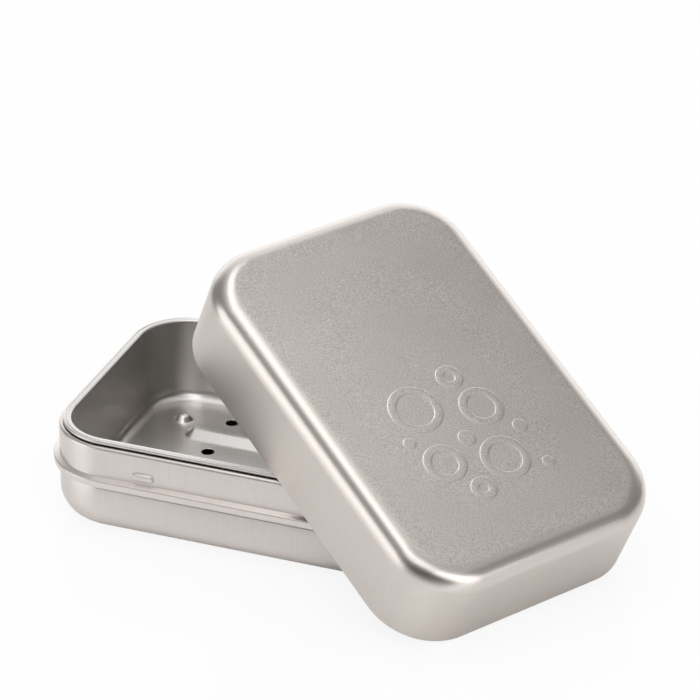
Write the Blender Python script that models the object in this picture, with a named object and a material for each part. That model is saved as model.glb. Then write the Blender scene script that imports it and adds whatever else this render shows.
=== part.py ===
# Soap tin: a drawn sheet-metal base, a perforated soap tray hanging in its rim,
# and a slip lid that has been taken off and leans on the tray's rim.
# Metres, +Z up. The origin is the middle of the base's underside, +X runs along
# the long side, and the front long wall faces -Y.

import math

import bmesh
import bpy
from mathutils import Matrix, Vector

# Sheet thicknesses and the running clearances between the pieces
base_sheet = 0.00035
tray_sheet = 0.00035
lid_sheet = 0.00035
slip_gap = 0.00015        # lid wall to base wall, each side, when the tin is closed
tray_seat_gap = 0.00035   # tray lip above the base's curled rim
lid_seat_gap = 0.0003     # leaning lid above the tray lip
lid_toe_gap = 0.0003      # its low end above the ground

# Lid: a plain rounded box, open below
lid_length = 0.100
lid_width = 0.0684
lid_height = 0.0225
lid_corner_radius = 0.0152
lid_edge_radius = 0.0051

# Base: curled rim, one bead round the wall, and the pips that grip the lid
rim_height = 0.02275
curl_radius = 0.00075
bottom_radius = 0.0067
bead_bottom = 0.01215
bead_height = 0.00345
bead_bulge = 0.00145
pip_length = 0.0058
pip_height = 0.0022
pip_proud = 0.0004
pip_flank = 0.0003        # how far a pip's sloping edge runs in from its foot
pip_rise = 0.0004         # pip above the bead's upper crease
pip_place_share = 0.480   # of half the base's length

# Tray: a flat folded lip, walls with a little draft, and a pressed floor
drip_space = 0.0025       # clear height under the tray's floor, for the water
lip_inset = 0.00095       # lip's edge in from the base's wall
lip_width = 0.00195
lip_height = 0.00075
lip_edge_radius = 0.0003
lip_mouth_radius = 0.0005
lip_groove_inset = 0.00065
lip_groove_width = 0.00026
lip_groove_depth = 0.00012
tray_draft = 0.0007
tray_floor_radius = 0.0028
hole_diameter = 0.0030
hole_column_share = 0.5626      # of half the flat floor's length
inner_hole_row_share = 0.2234   # of half the flat floor's width
outer_hole_row_share = 0.780
rib_row_share = 0.5018
rib_reach_share = 0.7425        # of half the flat floor's length
rib_width = 0.0073
rib_height = 0.0015
rib_top_width = 0.0024
bump_diameter = 0.0054
bump_height = 0.0012
bump_column_share = 0.8306
bump_row_share = 0.696

# The leaning lid: it crosses the front rim and the right rim, and its low end
# comes down to the ground. The chord joins the two places where it crosses.
chord_turn = math.radians(53.4)   # chord from the +X axis, seen from above
lid_skew = math.radians(3.74)     # chord against the lid's width
lean_place_share = -0.0867        # front crossing along the lid, of half its length

# Facets in each curve
corner_steps = 8          # each corner of a rounded outline
round_steps = 16          # all round a hole, a bump or a rib's two ends
bend_steps = 5            # the bend from a floor or panel to its wall
bead_steps = 6
curl_steps = 9
lip_steps = 3             # each edge of the tray's lip
crease_angle = math.radians(30)   # shading stays smooth below this

# What follows from the sizes above
base_length = lid_length - 2 * (lid_sheet + slip_gap)
base_width = lid_width - 2 * (lid_sheet + slip_gap)
base_corner_radius = lid_corner_radius - lid_sheet - slip_gap
bead_top = bead_bottom + bead_height
bead_radius = (bead_height ** 2 / 4 + bead_bulge ** 2) / (2 * bead_bulge)
bead_centre_inset = bead_radius - bead_bulge
lip_bottom = rim_height + tray_seat_gap
lip_top = lip_bottom + lip_height
mouth_inset = lip_inset + lip_width
floor_top = base_sheet + drip_space + tray_sheet
wall_foot_inset = mouth_inset + tray_draft
flat_floor_inset = wall_foot_inset + tray_floor_radius
half_floor_length = base_length / 2 - flat_floor_inset
half_floor_width = base_width / 2 - flat_floor_inset


def clear_scene():
    for item in list(bpy.data.objects):
        bpy.data.objects.remove(item, do_unlink=True)


def satin_metal(name, colour, roughness):
    material = bpy.data.materials.new(name)
    material.use_nodes = True
    shader = material.node_tree.nodes["Principled BSDF"]
    shader.inputs["Base Color"].default_value = colour
    shader.inputs["Metallic"].default_value = 1.0
    shader.inputs["Roughness"].default_value = roughness
    return material


def arc(centre_inset, centre_z, radius, start, end, steps):
    """Profile points (inset, z); 0 degrees points inwards and 90 degrees up."""
    points = []
    for step in range(steps + 1):
        angle = math.radians(start + (end - start) * step / steps)
        points.append((centre_inset + radius * math.cos(angle),
                       centre_z + radius * math.sin(angle)))
    return points


def rounded_loop(length, width, radius, z, steps):
    """A rounded rectangle at height z, anticlockwise seen from above."""
    reach_x = length / 2 - radius
    reach_y = width / 2 - radius
    centres = ((reach_x, reach_y), (-reach_x, reach_y), (-reach_x, -reach_y), (reach_x, -reach_y))
    loop = []
    for quarter, (centre_x, centre_y) in enumerate(centres):
        for step in range(steps + 1):
            angle = math.pi / 2 * (quarter + step / steps)
            loop.append(Vector((centre_x + radius * math.cos(angle),
                                centre_y + radius * math.sin(angle), z)))
    return loop


def add_loft(mesh, loops):
    """Join the loops one after another and close both ends."""
    rings = [[mesh.verts.new(point) for point in loop] for loop in loops]
    mesh.faces.new(reversed(rings[0]))
    for ring, following in zip(rings, rings[1:]):
        for index in range(len(ring)):
            beside = (index + 1) % len(ring)
            mesh.faces.new((ring[index], ring[beside], following[beside], following[index]))
    mesh.faces.new(rings[-1])


def make_object(name, mesh, material=None):
    bmesh.ops.remove_doubles(mesh, verts=mesh.verts, dist=tray_sheet / 1000)
    data = bpy.data.meshes.new(name)
    mesh.to_mesh(data)
    mesh.free()
    made = bpy.data.objects.new(name, data)
    bpy.context.scene.collection.objects.link(made)
    if material:
        data.materials.append(material)
        data.shade_smooth()
        data.set_sharp_from_angle(angle=crease_angle)
    else:
        made.hide_render = True
        made.display_type = "WIRE"
    return made


def drawn_shell(name, length, width, corner_radius, profile, material):
    """Sweep a profile of (inset, z) points round a rounded rectangle."""
    mesh = bmesh.new()
    loops = [rounded_loop(length - 2 * inset, width - 2 * inset, corner_radius - inset, z,
                          corner_steps)
             for inset, z in profile]
    add_loft(mesh, loops)
    return make_object(name, mesh, material)


def combine(target, tool, operation):
    step = target.modifiers.new(tool.name, "BOOLEAN")
    step.operation = operation
    step.object = tool
    step.solver = "EXACT"


def bead_arc(radius, wall_inset, upwards):
    """The bead's arc between its two creases on the wall at wall_inset."""
    half_sweep = math.degrees(math.acos((bead_centre_inset - wall_inset) / radius))
    start, end = 180 + half_sweep, 180 - half_sweep
    if not upwards:
        start, end = end, start
    return arc(bead_centre_inset, bead_bottom + bead_height / 2, radius, start, end,
               bead_steps)


def base_profile():
    outside = arc(bottom_radius, bottom_radius, bottom_radius, 270, 180, bend_steps)
    outside += bead_arc(bead_radius, 0, True)
    outside += arc(curl_radius, rim_height - curl_radius, curl_radius, 180, -90,
                   curl_steps)
    inside = [(base_sheet, rim_height - 2 * curl_radius)]
    inside += bead_arc(bead_radius - base_sheet, base_sheet, False)
    inside += arc(bottom_radius, bottom_radius, bottom_radius - base_sheet, 180, 270, bend_steps)
    return outside + inside


def pip_pads():
    """The four pips, two on each long wall, pressed outwards to grip the lid."""
    mesh = bmesh.new()
    buried = base_sheet / 2
    slope = pip_flank / pip_proud
    foot_spread = slope * buried
    middle_z = bead_top + pip_rise + pip_height / 2
    for side in (-1, 1):
        for end in (-1, 1):
            place = Matrix.Translation((end * pip_place_share * base_length / 2,
                                        side * (base_width / 2 - buried), middle_z))
            place = place @ Matrix.Rotation(math.radians(-90 * side), 4, "X")
            foot_length = pip_length + 2 * foot_spread
            foot_width = pip_height + 2 * foot_spread
            top_length = pip_length - 2 * pip_flank
            top_width = pip_height - 2 * pip_flank
            loops = (rounded_loop(foot_length, foot_width, foot_width / 2, 0, round_steps // 4),
                     rounded_loop(top_length, top_width, top_width / 2, buried + pip_proud,
                                  round_steps // 4))
            add_loft(mesh, [[place @ point for point in loop] for loop in loops])
    return make_object("pip_pads", mesh)


def tray_profile():
    foot_z = floor_top + tray_floor_radius
    underside = arc(flat_floor_inset, foot_z, tray_floor_radius + tray_sheet, 270, 180,
                    bend_steps)
    underside.append((mouth_inset - tray_sheet, lip_bottom))
    edge = [(lip_inset, lip_bottom)]
    edge += arc(lip_inset + lip_edge_radius, lip_top - lip_edge_radius, lip_edge_radius, 180, 90,
                lip_steps)
    groove = lip_inset + lip_groove_inset
    edge += [(groove - lip_groove_width / 2, lip_top), (groove, lip_top - lip_groove_depth),
             (groove + lip_groove_width / 2, lip_top)]
    edge += arc(mouth_inset - lip_mouth_radius, lip_top - lip_mouth_radius, lip_mouth_radius, 90, 0,
                lip_steps)
    inside = arc(flat_floor_inset, foot_z, tray_floor_radius, 180, 270, bend_steps)
    return underside + edge + inside


def rib_press(name, lowered):
    """The two long ribs as solids with sloping flanks, lowered for their hollow side."""
    mesh = bmesh.new()
    flank = (rib_width - rib_top_width) / 2
    spread = flank / rib_height * tray_sheet / 2
    reach = rib_reach_share * half_floor_length
    for side in (-1, 1):
        place = Matrix.Translation((0, side * rib_row_share * half_floor_width, floor_top - lowered))
        foot_width = rib_width + 2 * spread
        loops = (rounded_loop(2 * (reach + spread), foot_width, foot_width / 2, -tray_sheet / 2,
                              round_steps // 4),
                 rounded_loop(2 * (reach - flank), rib_top_width, rib_top_width / 2, rib_height,
                              round_steps // 4))
        add_loft(mesh, [[place @ point for point in loop] for loop in loops])
    return make_object(name, mesh)


def bump_press(name, lowered):
    """The four round bumps near the tray's corners, as flat-footed domes."""
    mesh = bmesh.new()
    ball = (bump_diameter ** 2 / 4 + bump_height ** 2) / (2 * bump_height)
    heights = (-tray_sheet / 2, bump_height / 3, 2 * bump_height / 3, bump_height - bump_height / 12)
    for side in (-1, 1):
        for end in (-1, 1):
            place = Matrix.Translation((end * bump_column_share * half_floor_length,
                                        side * bump_row_share * half_floor_width,
                                        floor_top - lowered))
            loops = []
            for height in heights:
                radius = math.sqrt(ball ** 2 - (ball - bump_height + height) ** 2)
                loops.append(rounded_loop(2 * radius, 2 * radius, radius, height, round_steps // 4))
            add_loft(mesh, [[place @ point for point in loop] for loop in loops])
    return make_object(name, mesh)


def drain_holes():
    """Three columns of four holes, in rows on both sides of each rib."""
    mesh = bmesh.new()
    overrun = tray_sheet
    for column in (-1, 0, 1):
        for side in (-1, 1):
            for share in (inner_hole_row_share, outer_hole_row_share):
                place = Matrix.Translation((column * hole_column_share * half_floor_length,
                                            side * share * half_floor_width, 0))
                loops = [rounded_loop(hole_diameter, hole_diameter, hole_diameter / 2, z,
                                      round_steps // 4)
                         for z in (floor_top - tray_sheet - overrun, floor_top + overrun)]
                add_loft(mesh, [[place @ point for point in loop] for loop in loops])
    return make_object("drain_holes", mesh)


def lid_profile():
    """From the ceiling out and down to the rim, then up the outside."""
    shoulder = lid_height - lid_edge_radius
    inside = arc(lid_edge_radius, shoulder, lid_edge_radius - lid_sheet, 90, 180, bend_steps)
    inside.append((lid_sheet, 0))
    outside = [(0, 0)] + arc(lid_edge_radius, shoulder, lid_edge_radius, 180, 90, bend_steps)
    return inside + outside


def leaning_pose():
    """Where the lid lies: over the tray's lip at two crossings, its low end by the ground."""
    chord_length = lid_width / math.cos(lid_skew)
    height = lip_top + lid_seat_gap
    front_crossing = Vector((base_length / 2 - lip_inset - chord_length * math.cos(chord_turn),
                             -(base_width / 2 - lip_inset), height))
    along_lid = lean_place_share * lid_length / 2
    straight_x = lid_length / 2 - lid_corner_radius
    straight_y = lid_width / 2 - lid_corner_radius
    low_end = (straight_x * math.cos(lid_skew) + straight_y * math.sin(lid_skew)
               + lid_corner_radius)
    fall = low_end - along_lid * math.cos(lid_skew) - lid_width / 2 * math.sin(lid_skew)
    tilt = math.asin((height - lid_toe_gap) / fall)
    chord = Vector((math.cos(chord_turn), math.sin(chord_turn), 0))
    downhill = Vector((math.sin(chord_turn) * math.cos(tilt), -math.cos(chord_turn) * math.cos(tilt),
                       -math.sin(tilt)))
    lid_x = chord * math.sin(lid_skew) + downhill * math.cos(lid_skew)
    lid_y = chord * math.cos(lid_skew) - downhill * math.sin(lid_skew)
    centre = front_crossing - lid_x * along_lid + lid_y * lid_width / 2
    turned = Matrix((lid_x, lid_y, lid_x.cross(lid_y))).transposed().to_4x4()
    return Matrix.Translation(centre) @ turned


def build_base():
    metal = satin_metal("base_metal", (0.60, 0.58, 0.56, 1), 0.34)
    base = drawn_shell("base_tin", base_length, base_width, base_corner_radius, base_profile(), metal)
    combine(base, pip_pads(), "UNION")


def build_tray():
    metal = satin_metal("tray_metal", (0.56, 0.54, 0.52, 1), 0.30)
    tray = drawn_shell("soap_tray", base_length, base_width, base_corner_radius, tray_profile(), metal)
    combine(tray, rib_press("ribs_raised", 0), "UNION")
    combine(tray, rib_press("ribs_hollow", tray_sheet), "DIFFERENCE")
    combine(tray, bump_press("bumps_raised", 0), "UNION")
    combine(tray, bump_press("bumps_hollow", tray_sheet), "DIFFERENCE")
    combine(tray, drain_holes(), "DIFFERENCE")


def build_lid():
    metal = satin_metal("lid_metal", (0.60, 0.58, 0.56, 1), 0.34)
    lid = drawn_shell("lid", lid_length, lid_width, lid_corner_radius, lid_profile(), metal)
    lid.matrix_world = leaning_pose()


clear_scene()
build_base()
build_tray()
build_lid()
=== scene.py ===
import math

import bmesh
import bpy
from mathutils import Matrix, Quaternion, Vector


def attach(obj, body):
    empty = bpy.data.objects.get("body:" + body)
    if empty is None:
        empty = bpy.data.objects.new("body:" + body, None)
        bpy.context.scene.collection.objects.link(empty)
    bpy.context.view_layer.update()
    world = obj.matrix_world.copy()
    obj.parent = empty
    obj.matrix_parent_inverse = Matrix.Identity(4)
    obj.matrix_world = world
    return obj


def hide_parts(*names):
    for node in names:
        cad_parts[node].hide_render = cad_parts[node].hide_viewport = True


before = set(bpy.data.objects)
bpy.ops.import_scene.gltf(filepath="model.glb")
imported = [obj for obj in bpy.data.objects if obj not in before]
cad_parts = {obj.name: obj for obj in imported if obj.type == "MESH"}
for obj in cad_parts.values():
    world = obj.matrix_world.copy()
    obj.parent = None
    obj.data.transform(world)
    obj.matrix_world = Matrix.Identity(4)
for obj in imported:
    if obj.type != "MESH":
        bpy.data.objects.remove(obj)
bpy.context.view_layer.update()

mm = 0.001
weld = 0.001 * mm

# The drawn sheet, and the lid's clearance over the base on each side
sheet = 0.35 * mm
slip = 0.15 * mm

# The lid, with a slight crown in its panel
lid_length, lid_width, lid_height = 100 * mm, 68.4 * mm, 22.5 * mm
lid_corner, lid_edge = 15.2 * mm, 5.1 * mm
lid_crown, lid_trim = 0.35 * mm, 0.08 * mm

# The lid's lean: turn and skew in degrees, where it crosses the rim along its half length, and gaps
chord_turn, lid_skew, crossing_share = 53.4, 3.74, -0.0867
seat_gap, toe_gap = 0.3 * mm, 0.3 * mm

# The base, with a round bottom edge and a curled rim
base_length, base_width = lid_length - 2 * (sheet + slip), lid_width - 2 * (sheet + slip)
base_corner = lid_corner - sheet - slip
rim_top, curl = 22.75 * mm, 0.75 * mm
bottom_bend = 6.7 * mm

# The base's bead: a neck below it, a shoulder, crease and slant each side, and a leaning crest
bead_low, bead_high, bead_out = 12.35 * mm, 15.5 * mm, 1.45 * mm
neck_in = 0.16 * mm
necking = ((0, -0.48 * mm), (0.02 * mm, -0.42 * mm), (0.14 * mm, -0.12 * mm), (neck_in, -0.06 * mm))
crest_lean, crest_fall = 8, 0.14 * mm
low_shoulder, low_crease, low_slant = 0.5 * mm, 0.3 * mm, 78
high_shoulder, high_crease, high_slant = 0.35 * mm, 0.25 * mm, 70

# The tray: a folded lip with a fine groove, and a flat floor inside a round bend
lip_low, lip_high = 23.1 * mm, 23.85 * mm
lip_edge_in, mouth_in = 0.95 * mm, 2.9 * mm
lip_foot_bend, lip_edge_bend, mouth_bend = 0.15 * mm, 0.3 * mm, 0.5 * mm
fold_notch = 0.2 * mm
groove_in = 0.65 * mm
groove_line = ((0.14 * mm, 0), (0.06 * mm, 0.08 * mm), (0, 0.11 * mm), (-0.06 * mm, 0.08 * mm),
               (-0.14 * mm, 0))
floor_top, floor_bend, floor_in = 3.2 * mm, 2.8 * mm, 6.4 * mm
half_floor_x, half_floor_y = base_length / 2 - floor_in, base_width / 2 - floor_in

# Steps in the large bends, and the flat strips round the sections and round the floor's pressings
corner_steps, bend_steps, lid_edge_steps, floor_bend_steps = 24, 14, 18, 10
flat_margin, floor_ring = 0.5 * mm, 0.3 * mm

# Edges that bend by less than this, in degrees, are shaded smooth
smooth_below = 38

y_axis, z_axis = 1, 2


def start_editing(piece):
    bpy.ops.object.select_all(action="DESELECT")
    piece.select_set(True)
    bpy.context.view_layer.objects.active = piece
    bpy.ops.object.mode_set(mode="EDIT")
    bpy.ops.mesh.select_mode(type="VERT")


def stop_editing():
    bpy.ops.object.mode_set(mode="OBJECT")


def pick_edges(piece, wanted):
    bpy.ops.mesh.select_mode(type="EDGE")
    bpy.ops.mesh.select_all(action="DESELECT")
    mesh = bmesh.from_edit_mesh(piece.data)
    for edge in mesh.edges:
        if wanted(edge):
            edge.select_set(True)
    bmesh.update_edit_mesh(piece.data)


def pick_faces(piece, wanted):
    bpy.ops.mesh.select_mode(type="FACE")
    bpy.ops.mesh.select_all(action="DESELECT")
    mesh = bmesh.from_edit_mesh(piece.data)
    for face in mesh.faces:
        if wanted(face):
            face.select_set(True)
    bmesh.update_edit_mesh(piece.data)


def draw_section(name, start, moves):
    """Draws a section in the XZ plane from one point.

    A move is a point to pull to, or a bend's middle with its turn in degrees and its steps.
    """
    bpy.ops.object.select_all(action="DESELECT")
    bpy.ops.mesh.primitive_plane_add(size=mm, location=(start[0], 0, start[1]))
    piece = bpy.context.object
    piece.name = name
    start_editing(piece)
    bpy.ops.mesh.select_all(action="SELECT")
    bpy.ops.mesh.merge(type="CENTER")
    here = Vector(start)
    for move in moves:
        if len(move) == 2:
            pull = Vector(move) - here
            bpy.ops.mesh.extrude_vertices_move(
                TRANSFORM_OT_translate={"value": (pull.x, 0, pull.y)})
            here = Vector(move)
        else:
            middle, turn, steps = move
            bpy.ops.mesh.spin(steps=steps, angle=math.radians(turn),
                              center=(middle[0], 0, middle[1]), axis=(0, 1, 0))
            here = Vector(middle) + Matrix.Rotation(math.radians(turn), 2) @ (here - Vector(middle))
    stop_editing()
    bpy.ops.object.transform_apply(location=True, rotation=True, scale=True)
    return piece


def carry_round(piece, length, width, corner):
    """Carries the section round the rounded rectangle: a spin at each corner, a pull on each side."""
    reach_x, reach_y = length / 2 - corner, width / 2 - corner
    start_editing(piece)
    bpy.ops.mesh.select_all(action="SELECT")
    bpy.ops.transform.translate(value=(0, reach_y, 0))
    corners = ((1, 1), (-1, 1), (-1, -1), (1, -1))
    pulls = ((-2, 0), (0, -2), (2, 0), (0, 2))
    for (side_x, side_y), (pull_x, pull_y) in zip(corners, pulls):
        bpy.ops.mesh.spin(steps=corner_steps, angle=-math.pi / 2,
                          center=(side_x * reach_x, side_y * reach_y, 0), axis=(0, 0, 1))
        bpy.ops.mesh.extrude_region_move(
            TRANSFORM_OT_translate={"value": (pull_x * reach_x, pull_y * reach_y, 0)})
    bpy.ops.mesh.select_all(action="SELECT")
    bpy.ops.mesh.remove_doubles(threshold=weld)
    stop_editing()


def turn_round(piece, steps):
    """Spins the section once round the upright axis through the middle."""
    start_editing(piece)
    bpy.ops.mesh.select_all(action="SELECT")
    bpy.ops.mesh.spin(steps=steps, angle=2 * math.pi, center=(0, 0, 0), axis=(0, 0, 1))
    bpy.ops.mesh.select_all(action="SELECT")
    bpy.ops.mesh.remove_doubles(threshold=weld)
    stop_editing()


def seat_at(piece, place):
    """Moves the piece to its place, and keeps that place in its mesh."""
    piece.matrix_world = place
    bpy.ops.object.select_all(action="DESELECT")
    piece.select_set(True)
    bpy.context.view_layer.objects.active = piece
    bpy.ops.object.transform_apply(location=True, rotation=True, scale=True)


def copy_to(piece, places):
    """One copy of the piece at each place, each with its own mesh. The first is the piece itself."""
    copies = [piece]
    while len(copies) < len(places):
        bpy.ops.object.select_all(action="DESELECT")
        piece.select_set(True)
        bpy.context.view_layer.objects.active = piece
        bpy.ops.object.duplicate(linked=False)
        copies.append(bpy.context.object)
    for copy, place in zip(copies, places):
        seat_at(copy, place)
    return copies


def soft_steps(corners, softness, count):
    """A stepped line with its corners rounded, as the (in, up) steps of press_plate."""
    corners = [Vector(point) for point in corners]
    line = [corners[0]]
    for before, here, after in zip(corners, corners[1:], corners[2:]):
        towards, onwards = (here - before).normalized(), (after - here).normalized()
        bend = towards.angle(onwards)
        cut = softness * math.tan(bend / 2)
        start, end = here - towards * cut, here + onwards * cut
        for step in range(count + 1):
            share = step / count
            line.append(start.lerp(here, share).lerp(here.lerp(end, share), share))
    line.append(corners[-1])
    return [after - before for before, after in zip(line, line[1:])]


def press_plate(name, length, width, steps, end_steps, run_out=1):
    """A long plate with round ends, pressed up by insets; its outermost ring stays flat.

    A run-out below one makes the round ends blunter by that much, within the same length.
    """
    straight = length / 2 - width / 2 * run_out
    length = 2 * straight + width
    bpy.ops.object.select_all(action="DESELECT")
    bpy.ops.mesh.primitive_plane_add(size=1, location=(0, 0, 0))
    piece = bpy.context.object
    piece.name = name
    start_editing(piece)
    bpy.ops.mesh.select_all(action="SELECT")
    bpy.ops.transform.resize(value=(length, width, 1))
    bpy.ops.mesh.bevel(affect="VERTICES", offset=width / 2, segments=end_steps,
                       clamp_overlap=False)
    bpy.ops.mesh.select_all(action="SELECT")
    bpy.ops.mesh.remove_doubles(threshold=weld)
    bpy.ops.mesh.select_mode(type="FACE")
    bpy.ops.mesh.select_all(action="SELECT")
    for inwards, upwards in steps:
        bpy.ops.mesh.inset(thickness=inwards, depth=upwards, use_even_offset=True,
                           use_boundary=True)
    if run_out != 1:
        for side in (-1, 1):
            pick_faces(piece, lambda face: side * face.calc_center_median().x > straight)
            bpy.ops.transform.resize(value=(run_out, 1, 1), center_override=(side * straight, 0, 0))
    stop_editing()
    return piece


def join(pieces):
    """Joins the pieces into the first of them."""
    bpy.ops.object.select_all(action="DESELECT")
    for piece in pieces:
        piece.select_set(True)
    bpy.context.view_layer.objects.active = pieces[0]
    bpy.ops.object.join()


def close_flat(piece, axis, level):
    """Fills the flat sheet between the open loops that lie at this level."""
    start_editing(piece)
    pick_edges(piece, lambda edge: edge.is_boundary and all(
        abs(corner.co[axis] - level) < weld for corner in edge.verts))
    bpy.ops.mesh.fill(use_beauty=True)
    stop_editing()


def open_wall(piece, axis, level, low, high):
    """Takes away the flat wall panels at this level between two heights, and keeps their edges."""
    start_editing(piece)
    pick_faces(piece, lambda face: all(abs(corner.co[axis] - level) < weld for corner in face.verts)
               and low < face.calc_center_median().z < high)
    bpy.ops.mesh.delete(type="ONLY_FACE")
    stop_editing()


def finish_piece(piece, material):
    """Welds the piece, turns its faces outwards, and gives it its shading and its metal."""
    start_editing(piece)
    bpy.ops.mesh.select_all(action="SELECT")
    bpy.ops.mesh.remove_doubles(threshold=weld)
    bpy.ops.mesh.normals_make_consistent(inside=False)
    stop_editing()
    bpy.ops.object.select_all(action="DESELECT")
    piece.select_set(True)
    bpy.context.view_layer.objects.active = piece
    bpy.ops.object.shade_smooth_by_angle(angle=math.radians(smooth_below))
    piece.data.materials.clear()
    piece.data.materials.append(material)


def add_node(tree, kind, sockets=None, **settings):
    """A shader node with its settings made, and each socket given a value or fed by another node."""
    made = tree.nodes.new(kind)
    for setting, choice in settings.items():
        setattr(made, setting, choice)
    for socket, value in (sockets or {}).items():
        if isinstance(value, bpy.types.NodeSocket):
            tree.links.new(value, made.inputs[socket])
        else:
            made.inputs[socket].default_value = value
    return made


def satin_metal(name, colour, roughness, wall_rougher, grain, brushing, seat=Matrix()):
    """Bare satin sheet: fine even speckle, brushing that runs across the drawn blank, faint clouds.

    The seat brings a point of the piece into the drawn part's own frame, where the short walls
    stand across X and the long walls stand across Y.
    """
    speckle_scale, brush_scale, cloud_scale = 5000, 2400, 70
    brush_stretch, relief = 0.03, 0.02 * mm
    grain_on_walls, brushing_on_flats = 0.2, 0.25
    cloud_gloss = 0.01
    speckle_shade, brush_shade, cloud_shade = 0.8, 0.016, 0.015

    material = bpy.data.materials.new(name)
    material.use_nodes = True
    tree = material.node_tree
    shader = tree.nodes["Principled BSDF"]
    shader.inputs["Metallic"].default_value = 1.0
    place = add_node(tree, "ShaderNodeTexCoord")
    spot = add_node(tree, "ShaderNodeMapping", {
        "Vector": place.outputs["Object"], "Rotation": seat.to_euler(),
        "Location": seat.translation}).outputs["Vector"]
    facing = add_node(tree, "ShaderNodeMapping", {
        "Vector": place.outputs["Normal"], "Rotation": seat.to_euler()},
        vector_type="VECTOR").outputs["Vector"]

    def noise(scale, detail, stretch):
        drawn = add_node(tree, "ShaderNodeMapping", {"Vector": spot, "Scale": stretch})
        return add_node(tree, "ShaderNodeTexNoise", {
            "Vector": drawn.outputs["Vector"], "Scale": scale, "Detail": detail}).outputs["Fac"]

    def spread(source, low, high, to_low, to_high):
        return add_node(tree, "ShaderNodeMapRange", {
            "Value": source, "From Min": low, "From Max": high,
            "To Min": to_low, "To Max": to_high}).outputs["Result"]

    def swing(pattern, middle, reach):
        """Spreads a noise, which lies mostly between 0.3 and 0.7, this far to both sides."""
        return spread(pattern, 0.3, 0.7, middle - reach, middle + reach)

    def multiply(first, second):
        return add_node(tree, "ShaderNodeMath", {0: first, 1: second},
                        operation="MULTIPLY").outputs["Value"]

    speckle = noise(speckle_scale, 2, (1, 0.55, 1))
    clouds = noise(cloud_scale, 3, (1, 1, 0.5))

    # The long walls carry the brushing upright, the short walls carry it along the rim
    upright = noise(brush_scale, 2, (1, 1, brush_stretch))
    level = noise(brush_scale, 2, (1, brush_stretch, 1))
    parts = add_node(tree, "ShaderNodeSeparateXYZ", {"Vector": facing}).outputs
    short_wall = spread(multiply(parts["X"], parts["X"]), 0.35, 0.65, 0, 1)
    streaks = add_node(tree, "ShaderNodeMix", {
        "Factor": short_wall, "A": upright, "B": level}).outputs["Result"]

    # The brushing is strongest on the walls, and the speckle on the flats
    upwards = multiply(parts["Z"], parts["Z"])
    on_walls = spread(upwards, 0.2, 0.9, brushing, brushing * brushing_on_flats)
    on_flats = spread(upwards, 0.9, 0.99, grain * grain_on_walls, grain)
    grainy = add_node(tree, "ShaderNodeBump", {
        "Distance": relief, "Strength": on_flats, "Height": speckle})
    brushed = add_node(tree, "ShaderNodeBump", {
        "Distance": relief, "Strength": on_walls, "Height": streaks,
        "Normal": grainy.outputs["Normal"]})

    # The clouds change the gloss a little, and the walls are rougher than the flats
    rougher = add_node(tree, "ShaderNodeMath", {
        0: swing(clouds, roughness, cloud_gloss),
        1: spread(upwards, 0, 0.15, wall_rougher, 0)}, operation="ADD")

    # Each pattern also shades the colour by its own small share
    speckled = add_node(tree, "ShaderNodeMath", {
        0: swing(speckle, 0, speckle_shade), 1: on_flats, 2: 1}, operation="MULTIPLY_ADD")
    shades = multiply(multiply(speckled.outputs["Value"], swing(streaks, 1, brush_shade)),
                      swing(clouds, 1, cloud_shade))
    tint = add_node(tree, "ShaderNodeVectorMath", {0: colour, "Scale": shades}, operation="SCALE")

    tree.links.new(brushed.outputs["Normal"], shader.inputs["Normal"])
    tree.links.new(rougher.outputs["Value"], shader.inputs["Roughness"])
    tree.links.new(tint.outputs["Vector"], shader.inputs["Base Color"])
    return material


def lid_place():
    """Where the lid leans: over the tray's lip at two crossings, its low end by the ground."""
    turn, skew = math.radians(chord_turn), math.radians(lid_skew)
    along = crossing_share * lid_length / 2
    chord_length = lid_width / math.cos(skew)
    height = lip_high + seat_gap
    crossing = Vector((base_length / 2 - lip_edge_in - chord_length * math.cos(turn),
                       -(base_width / 2 - lip_edge_in), height))
    low_end = ((lid_length / 2 - lid_corner) * math.cos(skew)
               + (lid_width / 2 - lid_corner) * math.sin(skew) + lid_corner)
    fall = low_end - along * math.cos(skew) - lid_width / 2 * math.sin(skew)
    tilt = math.asin((height - toe_gap) / fall)
    chord = Vector((math.cos(turn), math.sin(turn), 0))
    downhill = Vector((math.sin(turn) * math.cos(tilt), -math.cos(turn) * math.cos(tilt),
                       -math.sin(tilt)))
    lid_x = chord * math.sin(skew) + downhill * math.cos(skew)
    lid_y = chord * math.cos(skew) - downhill * math.sin(skew)
    centre = crossing - lid_x * along + lid_y * lid_width / 2
    turned = Matrix((lid_x, lid_y, lid_x.cross(lid_y))).transposed().to_4x4()
    return Matrix.Translation(centre) @ turned


def bead_side(wall, level, way, out, shoulder, crease, turn):
    """One side of the bead, from the wall at this level: a crease, a slant and a round shoulder.

    The way is 1 for the side below the crest, and -1 for the side above it.
    """
    lean, crest = math.radians(turn), math.radians(crest_lean)
    slant = (out - (shoulder + crease) * (1 - math.cos(lean))) / math.sin(lean)
    run = (shoulder + crease) * math.sin(lean) + slant * math.cos(lean)
    shoulder_at = Vector((wall + out - shoulder, level + way * run))
    crease_at = Vector((wall + crease, level))
    outwards = Vector((math.cos(lean), -way * math.sin(lean)))
    crest_out = Vector((math.cos(crest), -math.sin(crest)))
    return {"turn": turn, "crest_turn": turn - way * crest_lean,
            "shoulder": tuple(shoulder_at), "crease": tuple(crease_at),
            "outer_step": tuple(shoulder_at + shoulder * outwards),
            "outer_foot": tuple(crease_at - crease * outwards),
            "outer_crest": tuple(shoulder_at + shoulder * crest_out),
            "inner_step": tuple(shoulder_at + (shoulder - sheet) * outwards),
            "inner_foot": tuple(crease_at - (crease + sheet) * outwards),
            "inner_crest": tuple(shoulder_at + (shoulder - sheet) * crest_out)}


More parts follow.
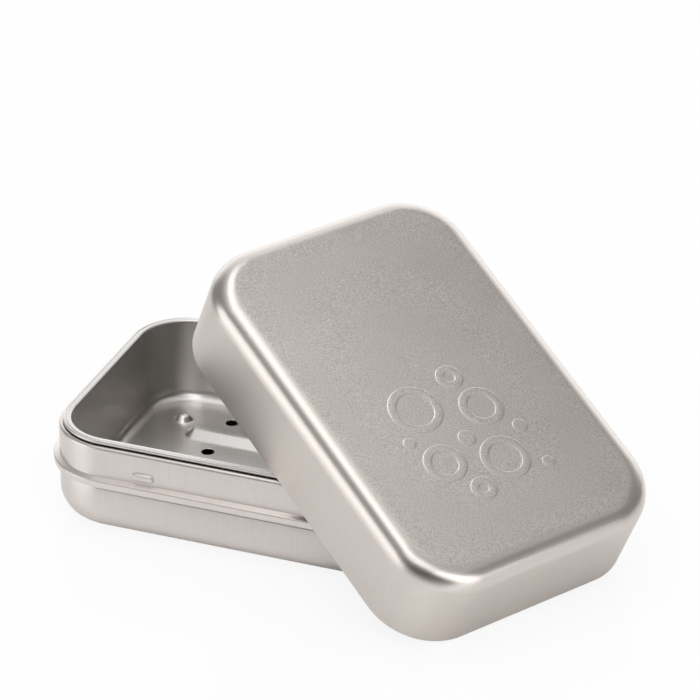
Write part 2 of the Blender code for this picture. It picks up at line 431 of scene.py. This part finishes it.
def press_pips(base):
    """Four small pips that grip the lid, two on each long wall: pads outside, dents inside."""
    long, tall, out, ring = 5.8 * mm, 2.2 * mm, 0.55 * mm, 0.15 * mm
    over_bead, place_share = 0.5 * mm, 0.48
    pip_x = place_share * (base_length / 2)
    pip_z = bead_high + over_bead + tall / 2

    # Inside its flat ring the pad has a fine groove, a steep flank and a slight crown
    groove_to, groove_deep = 0.15 * mm, 0.12 * mm
    flank_to, flank_short = 0.45 * mm, 0.03 * mm
    crown_to, crown_up = 0.95 * mm, 0.04 * mm
    pad_steps = soft_steps([(0, 0), (ring, 0), (ring + groove_to, -groove_deep),
                            (ring + flank_to, out - flank_short),
                            (ring + crown_to, out + crown_up)], softness=0.07 * mm, count=4)

    # The dent is a little smaller and shallower than its pad
    smaller, dent_flank, dent_flat, dent_out = 0.5 * mm, 0.25 * mm, 0.5 * mm, out * 0.8
    dent_steps = soft_steps([(0, 0), (ring, 0), (ring + dent_flank, dent_out),
                             (ring + dent_flat, dent_out)], softness=0.12 * mm, count=3)

    for side in (-1, 1):
        outside, inside = side * base_width / 2, side * (base_width / 2 - sheet)
        open_wall(base, y_axis, outside, bead_high, rim_top)
        open_wall(base, y_axis, inside, bead_high, rim_top)
        turned = Matrix.Rotation(math.radians(-90 * side), 4, "X")
        pad = press_plate("pip_pad", long + 2 * ring, tall + 2 * ring, pad_steps, end_steps=10)
        dent = press_plate("pip_dent", long - smaller + 2 * ring, tall - smaller + 2 * ring,
                           dent_steps, end_steps=8)
        pads = copy_to(pad, [Matrix.Translation((end * pip_x, outside, pip_z)) @ turned
                             for end in (-1, 1)])
        dents = copy_to(dent, [Matrix.Translation((end * pip_x, inside, pip_z)) @ turned
                               for end in (-1, 1)])
        join([base] + pads + dents)
        close_flat(base, y_axis, outside)
        close_flat(base, y_axis, inside)


def make_base(material):
    """The base: a flat bottom with a round edge, a beaded wall with four pips, and a curled rim."""
    wall = base_length / 2
    neck = wall - neck_in
    low = bead_side(neck, bead_low, 1, bead_out + neck_in - crest_fall, low_shoulder, low_crease,
                    low_slant)
    high = bead_side(wall, bead_high, -1, bead_out, high_shoulder, high_crease, high_slant)
    crease_steps, shoulder_steps, inner_steps, curl_steps = 4, 8, 6, 18
    bend_middle = (wall - bottom_bend, bottom_bend)
    curl_middle = (wall - curl, rim_top - curl)
    flat_end = wall - bottom_bend - flat_margin
    base = draw_section("base_tin_drawn", (flat_end, 0), [
        (wall - bottom_bend, 0),
        (bend_middle, 90, bend_steps),
        *((wall - inwards, bead_low + upwards) for inwards, upwards in necking),
        (neck, bead_low),
        (low["crease"], -low["turn"], crease_steps),
        low["outer_step"],
        (low["shoulder"], low["crest_turn"], shoulder_steps),
        high["outer_crest"],
        (high["shoulder"], high["crest_turn"], shoulder_steps),
        high["outer_foot"],
        (high["crease"], -high["turn"], crease_steps),
        (wall, rim_top - curl),
        (curl_middle, 270, curl_steps),
        (wall - sheet, rim_top - 2 * curl),
        (wall - sheet, bead_high),
        (high["crease"], high["turn"], crease_steps),
        high["inner_step"],
        (high["shoulder"], -high["crest_turn"], inner_steps),
        low["inner_crest"],
        (low["shoulder"], -low["crest_turn"], inner_steps),
        low["inner_foot"],
        (low["crease"], low["turn"], crease_steps),
        *((wall - sheet - inwards, bead_low + upwards) for inwards, upwards in reversed(necking)),
        (wall - sheet, bottom_bend),
        (bend_middle, -90, bend_steps),
        (flat_end, sheet),
    ])
    carry_round(base, base_length, base_width, base_corner)
    close_flat(base, z_axis, 0)
    close_flat(base, z_axis, sheet)
    press_pips(base)
    finish_piece(base, material)
    return base


def press_ribs(skins):
    """Two long ribs with soft slopes and blunt ends, raised above and hollow below."""
    long, wide, up, top = 65 * mm, 7.3 * mm, 1.5 * mm, 2.4 * mm
    top_run, row_share = 0.9 * mm, 0.5018
    flank = (wide - top) / 2
    steps = soft_steps([(0, 0), (floor_ring, 0), (floor_ring + flank, up),
                        (floor_ring + flank + top_run, up)], softness=1.6 * mm, count=6)
    row = row_share * half_floor_y
    ribs = []
    for level in skins:
        rib = press_plate("rib", long + 2 * floor_ring, wide + 2 * floor_ring, steps,
                          end_steps=20, run_out=0.65)
        ribs += copy_to(rib, [Matrix.Translation((0, side * row, level)) for side in (-1, 1)])
    return ribs


def press_domes(skins):
    """Four domes near the corners: a soft foot, a straight side, a round edge and a low crown."""
    half, foot_bend, edge_bend, crown = 2.65 * mm, 0.5 * mm, 1.2 * mm, 3.2 * mm
    side_slope, crown_slope = 50, 22
    foot_steps, edge_steps, crown_steps = 5, 5, 6
    column_share, row_share = 0.8306, 0.696
    lean, tip = math.radians(side_slope), math.radians(crown_slope)
    edge = Vector(((crown - edge_bend) * math.sin(tip), (crown - edge_bend) * math.cos(tip)))
    side_end = edge + edge_bend * Vector((math.sin(lean), math.cos(lean)))
    foot_end = Vector((half - foot_bend * math.sin(lean), foot_bend * (1 - math.cos(lean))))
    crown_down = foot_end.y + (foot_end.x - side_end.x) * math.tan(lean) - side_end.y
    places = [(end * column_share * half_floor_x, side * row_share * half_floor_y)
              for end in (-1, 1) for side in (-1, 1)]
    domes = []
    for level in skins:
        dome = draw_section("dome", (half + floor_ring, 0), [
            (half, 0),
            ((half, foot_bend), -side_slope, foot_steps),
            (side_end.x, side_end.y + crown_down),
            ((edge.x, edge.y + crown_down), side_slope - crown_slope, edge_steps),
            ((0, crown_down), crown_slope, crown_steps),
        ])
        turn_round(dome, steps=48)
        domes += copy_to(dome, [Matrix.Translation((x, y, level)) for x, y in places])
    return domes


def punch_holes():
    """Twelve punched drain holes with softly rolled edges."""
    hole, roll, chamfer = 1.5 * mm, 0.12 * mm, 0.05 * mm
    roll_steps = 5
    column_share, row_shares = 0.5626, (0.2234, 0.780)
    outer = hole + roll + floor_ring
    eyelet = draw_section("eyelet", (outer, 0), [
        (hole + roll, 0),
        ((hole + roll, -roll), 90, roll_steps),
        (hole, -sheet + chamfer),
        (hole + chamfer, -sheet),
        (outer, -sheet),
    ])
    turn_round(eyelet, steps=40)
    columns = [column * column_share * half_floor_x for column in (-1, 0, 1)]
    rows = [side * share * half_floor_y for side in (-1, 1) for share in row_shares]
    return copy_to(eyelet, [Matrix.Translation((x, y, floor_top)) for x in columns for y in rows])


def make_tray(material):
    """The soap tray: a folded lip round its mouth, and a floor with ribs, domes and drain holes."""
    wall = base_length / 2
    lip_edge, mouth = wall - lip_edge_in, wall - mouth_in
    groove = wall - (lip_edge_in + groove_in)
    foot = (wall - floor_in, floor_top + floor_bend)
    foot_steps, edge_steps = 3, 6
    flat_end = wall - floor_in - flat_margin
    tray = draw_section("soap_tray_drawn", (flat_end, floor_top - sheet), [
        (wall - floor_in, floor_top - sheet),
        (foot, 90, floor_bend_steps),
        (mouth + sheet, lip_low + fold_notch),
        (mouth + 2 * sheet, lip_low + fold_notch),
        (mouth + 2 * sheet, lip_low),
        (lip_edge - lip_foot_bend, lip_low),
        ((lip_edge - lip_foot_bend, lip_low + lip_foot_bend), 90, foot_steps),
        (lip_edge, lip_high - lip_edge_bend),
        ((lip_edge - lip_edge_bend, lip_high - lip_edge_bend), 90, edge_steps),
        *((groove + aside, lip_high - down) for aside, down in groove_line),
        (mouth + mouth_bend, lip_high),
        ((mouth + mouth_bend, lip_high - mouth_bend), 90, edge_steps),
        (wall - floor_in + floor_bend, floor_top + floor_bend),
        (foot, -90, floor_bend_steps),
        (flat_end, floor_top),
    ])
    carry_round(tray, base_length, base_width, base_corner)
    skins = (floor_top, floor_top - sheet)
    join([tray] + press_ribs(skins) + press_domes(skins) + punch_holes())
    for skin in skins:
        close_flat(tray, z_axis, skin)
    finish_piece(tray, material)
    return tray


def press_bubbles(skins):
    """Soap bubbles pressed up out of the lid's panel, as plain rings and dots."""
    middle = Vector((15, -1.2, 0)) * mm

    # Each bubble's place from the middle and its outer radius, in mm
    rings = ((-9.5, -7.5, 6.5), (5.5, -9.5, 5.2), (-4.5, 7.5, 5.4), (9.5, 4.5, 6.0),
             (-14.2, 5.2, 3.4), (14.6, -5.0, 3.2))
    dots = ((1.6, -0.8, 2.2), (3.4, 12.9, 1.9), (-2.2, -14.0, 1.6), (14.2, 13.4, 1.6))

    band, slope, up, margin = 2.2 * mm, 0.34 * mm, 0.07 * mm, 0.3 * mm
    shares = (0.2, 0.4, 0.6, 0.8, 1)
    relief = []
    for level in skins:
        for places, hollow, steps in ((rings, True, 72), (dots, False, 48)):
            for x, y, reach in places:
                reach *= mm
                ridge = [(reach, 0)]
                ridge += [(reach - slope * share, up * (1 - math.cos(math.pi * share)) / 2)
                          for share in shares]
                if hollow:
                    inner = reach - band
                    ridge += [(inner + slope * (1 - share),
                               up * (1 + math.cos(math.pi * share)) / 2) for share in (0, *shares)]
                    ridge.append((inner - margin, 0))
                else:
                    ridge.append((reach - slope - margin, up))
                    ridge.append((0, up))
                bubble = draw_section("bubble", (reach + margin, 0), ridge)
                turn_round(bubble, steps)
                place = middle + Vector((x * mm, y * mm, level))
                relief += copy_to(bubble, [Matrix.Translation(place)])
    return relief


def crown_panel(piece, level, reach_x, reach_y, rise):
    """Gives the lid's flat panel its slight crown, on a net of cuts across both its skins."""
    cells, nearly_level = 9, 0.9999
    lowest = level - 2 * sheet
    shares = [step / cells for step in range(1 - cells, cells)]
    start_editing(piece)
    cuts = ([((share * reach_x, 0, 0), (1, 0, 0)) for share in shares]
            + [((0, share * reach_y, 0), (0, 1, 0)) for share in shares])
    for spot, across in cuts:
        pick_faces(piece, lambda face: abs(face.normal.z) > nearly_level
                   and face.calc_center_median().z > lowest)
        bpy.ops.mesh.bisect(plane_co=spot, plane_no=across)
    mesh = bmesh.from_edit_mesh(piece.data)
    for corner in mesh.verts:
        u, v = corner.co.x / reach_x, corner.co.y / reach_y
        if corner.co.z > lowest and abs(u) < 1 and abs(v) < 1:
            corner.co.z += rise * (1 - u * u) * (1 - v * v)
    bmesh.update_edit_mesh(piece.data)
    stop_editing()


def make_lid(material, place):
    """The lid: a plain rounded box, open below, with a crowned panel and its bubbles."""
    wall = lid_length / 2
    shoulder = (wall - lid_edge, lid_height - lid_edge)
    flat_end = wall - lid_edge - flat_margin
    lid = draw_section("lid_drawn", (flat_end, lid_height), [
        (wall - lid_edge, lid_height),
        (shoulder, -90, lid_edge_steps),
        (wall, lid_trim),
        (wall - lid_trim, 0),
        (wall - sheet + lid_trim, 0),
        (wall - sheet, lid_trim),
        (wall - sheet, lid_height - lid_edge),
        (shoulder, 90, lid_edge_steps),
        (flat_end, lid_height - sheet),
    ])
    carry_round(lid, lid_length, lid_width, lid_corner)
    skins = (lid_height, lid_height - sheet)
    join([lid] + press_bubbles(skins))
    for skin in skins:
        close_flat(lid, z_axis, skin)
    crown_panel(lid, lid_height, wall - lid_edge, lid_width / 2 - lid_edge, lid_crown)
    seat_at(lid, place)
    finish_piece(lid, material)
    return lid


def set_camera():
    """The photo's view, fitted to the outlines of the base and the leaning lid."""
    frame_pixels, focal_pixels, sensor = 700, 3887.27, 36
    place = (0.28469, -0.73630, 0.45102)
    right = Vector((0.93689, 0.34953, 0.0082))
    down = Vector((0.16886, -0.43182, -0.88601))
    forward = Vector((-0.30614, 0.83148, -0.46359))
    view = bpy.data.cameras.new("photo_view")
    view.sensor_width = sensor
    view.lens = focal_pixels * sensor / frame_pixels
    view.clip_start, view.clip_end = 0.05, 50
    camera = bpy.data.objects.new("photo_view", view)
    bpy.context.scene.collection.objects.link(camera)
    turned = Matrix((right, -down, -forward)).transposed().to_4x4()
    camera.matrix_world = Matrix.Translation(place) @ turned
    bpy.context.scene.camera = camera


def add_panel_lamp(name, place, towards, width, height, glow, roll=0):
    """A flat lamp that the tin sees in this direction, with this glow. The camera doesn't see it."""
    lamp = bpy.data.lights.new(name, "AREA")
    lamp.shape = "RECTANGLE"
    lamp.size, lamp.size_y = width, height
    lamp.energy = glow * width * height * math.pi
    light = bpy.data.objects.new(name, lamp)
    light.location = place
    light.rotation_mode = "QUATERNION"
    light.rotation_quaternion = (Vector(towards).to_track_quat("Z", "Y")
                                 @ Quaternion((0, 0, 1), math.radians(roll)))
    light.visible_camera = False
    bpy.context.scene.collection.objects.link(light)


def add_softbox(name, azimuth, elevation, distance, width, height, glow, roll=0):
    """A softbox facing the tin. The azimuth is counted from +Y towards +X."""
    aim = Vector((0.02, 0, 0.02))
    turn, lift = math.radians(azimuth), math.radians(elevation)
    towards = Vector((math.sin(turn) * math.cos(lift), math.cos(turn) * math.cos(lift),
                      math.sin(lift)))
    add_panel_lamp(name, towards * distance + aim, towards, width, height, glow, roll)


def add_overhead(name, height, span_x, span_y, glow):
    """A flat lamp over the tin. Its spans are counted in heights, as seen from the tin."""
    middle = Vector((sum(span_x) / 2 * height, sum(span_y) / 2 * height, height))
    add_panel_lamp(name, middle, (0, 0, 1), (span_x[1] - span_x[0]) * height,
                   (span_y[1] - span_y[0]) * height, glow)


def set_room():
    """White for the camera, and an even fill for all light that isn't mirrored.

    Metal sees a room that is white behind the tin, grey at its sides and dark in front of it.
    """
    backwards, fill_strength = (-0.255, 0.951, 0.17), 0.65
    room_levels = ((0.05, 0.04), (0.25, 0.25), (0.79, 0.25), (0.92, 1.0))

    world = bpy.data.worlds.new("studio")
    bpy.context.scene.world = world
    world.use_nodes = True
    tree = world.node_tree
    tree.nodes.clear()
    white = add_node(tree, "ShaderNodeBackground", {"Color": (1, 1, 1, 1), "Strength": 1})
    fill = add_node(tree, "ShaderNodeBackground", {"Color": (1, 1, 1, 1),
                                                   "Strength": fill_strength})

    around = add_node(tree, "ShaderNodeTexCoord")
    behind = add_node(tree, "ShaderNodeVectorMath", {0: around.outputs["Generated"], 1: backwards},
                      operation="DOT_PRODUCT")
    turned = add_node(tree, "ShaderNodeMapRange", {"Value": behind.outputs["Value"],
                                                   "From Min": -1})
    room = add_node(tree, "ShaderNodeValToRGB", {"Fac": turned.outputs["Result"]})
    room.color_ramp.interpolation = "EASE"
    for step, (position, level) in enumerate(room_levels):
        if step > 1:
            room.color_ramp.elements.new(position)
        room.color_ramp.elements[step].position = position
        room.color_ramp.elements[step].color = (level, level, level, 1)
    seen = add_node(tree, "ShaderNodeBackground", {"Color": room.outputs["Color"]})

    rays = add_node(tree, "ShaderNodeLightPath").outputs
    shiny = add_node(tree, "ShaderNodeMath", {0: rays["Is Glossy Ray"], 1: rays["Is Transmission Ray"]},
                     operation="MAXIMUM")
    inner = add_node(tree, "ShaderNodeMixShader", {
        "Fac": shiny.outputs["Value"], 1: fill.outputs["Background"], 2: seen.outputs["Background"]})
    outer = add_node(tree, "ShaderNodeMixShader", {
        "Fac": rays["Is Camera Ray"], 1: inner.outputs["Shader"], 2: white.outputs["Background"]})
    add_node(tree, "ShaderNodeOutputWorld", {"Surface": outer.outputs["Shader"]})


def hang_lamps():
    """Four flat lamps over the tin, and three softboxes low round it."""
    add_overhead("ceiling_diffuser", 0.90, span_x=(-0.77, 1.26), span_y=(-0.72, 0.51), glow=0.26)
    add_overhead("ceiling_centre_panel", 0.88, span_x=(0.0, 0.44), span_y=(-0.08, 0.50), glow=0.20)
    add_overhead("left_overhead_softbox", 0.86, span_x=(-0.36, 0.02), span_y=(-0.57, 0.52),
                 glow=1.23)
    add_overhead("front_overhead_softbox", 0.82, span_x=(-0.32, 0.55), span_y=(-1.37, -0.55),
                 glow=1.23)
    add_softbox("left_softbox", azimuth=-126, elevation=7, distance=0.9, width=0.73, height=0.55,
                glow=1.30, roll=-48)
    add_softbox("right_softbox", azimuth=118, elevation=8, distance=0.9, width=0.43, height=1.57,
                glow=1.70, roll=41)
    add_softbox("back_softbox", azimuth=-15, elevation=11, distance=1.2, width=2.3, height=0.7,
                glow=0.30)


def lay_floor():
    """A pale floor, nearly white to the camera, with painted shade in front: a darker patch of floor
    colour that stands in for the unlit side of the room, for the metal to mirror.
    """
    floor_size, white_share = 8, 0.88
    # Painted shade: in a patch in front of the tin the floor's colour darkens to a shade tone, standing
    # in for the unlit room there
    shade_patch_middle, shade_patch_core, shade_patch_reach = (0.104, -0.281, 0), 0.09, 0.22
    painted_shade_tone, floor_tone = 0.2, 0.88

    bpy.ops.object.select_all(action="DESELECT")
    bpy.ops.mesh.primitive_plane_add(size=floor_size, location=(0, 0, 0))
    floor = bpy.context.object
    floor.name = "floor"
    start_editing(floor)
    bpy.ops.mesh.subdivide(number_cuts=3)
    stop_editing()

    material = bpy.data.materials.new("pale_floor")
    material.use_nodes = True
    tree = material.node_tree
    tree.nodes.clear()
    spot = add_node(tree, "ShaderNodeTexCoord")
    away = add_node(tree, "ShaderNodeVectorMath", {0: spot.outputs["Object"], 1: shade_patch_middle},
                    operation="DISTANCE")
    # Painted shade: the floor's colour falls from its own tone to the shade tone towards the patch's
    # middle
    painted_shade_ramp = add_node(tree, "ShaderNodeMapRange", {
        "Value": away.outputs["Value"], "From Min": shade_patch_core, "From Max": shade_patch_reach,
        "To Min": painted_shade_tone, "To Max": floor_tone}, interpolation_type="SMOOTHSTEP")
    satin = add_node(tree, "ShaderNodeBsdfPrincipled", {
        "Base Color": painted_shade_ramp.outputs["Result"], "Roughness": 0.2, "IOR": 1.9})
    bright = add_node(tree, "ShaderNodeEmission", {"Strength": 1})
    rays = add_node(tree, "ShaderNodeLightPath")
    share = add_node(tree, "ShaderNodeMath", {0: rays.outputs["Is Camera Ray"], 1: white_share},
                     operation="MULTIPLY")
    mixed = add_node(tree, "ShaderNodeMixShader", {
        "Fac": share.outputs["Value"], 1: satin.outputs["BSDF"], 2: bright.outputs["Emission"]})
    add_node(tree, "ShaderNodeOutputMaterial", {"Surface": mixed.outputs["Shader"]})
    floor.data.materials.append(material)


bpy.context.scene.view_settings.view_transform = "Standard"
set_camera()
set_room()
hang_lamps()
lay_floor()

lid_pose = lid_place()
base_metal = satin_metal("satin_base", (0.785, 0.732, 0.700), roughness=0.33, wall_rougher=0.04,
                         grain=0.2, brushing=0.25)
tray_metal = satin_metal("satin_tray", (0.735, 0.711, 0.690), roughness=0.29, wall_rougher=0.06,
                         grain=0.2, brushing=0.15)
lid_metal = satin_metal("satin_lid", (0.733, 0.68, 0.639), roughness=0.29, wall_rougher=0.1,
                        grain=0.3, brushing=0.2, seat=lid_pose.inverted())

base = make_base(base_metal)
tray = make_tray(tray_metal)
lid = make_lid(lid_metal, lid_pose)
for piece, node, body, slot in ((base, "base_tin", "base", "base_metal"),
                                (tray, "soap_tray", "tray", "tray_metal"),
                                (lid, "lid", "lid", "lid_metal")):
    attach(piece, body)
    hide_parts(node)
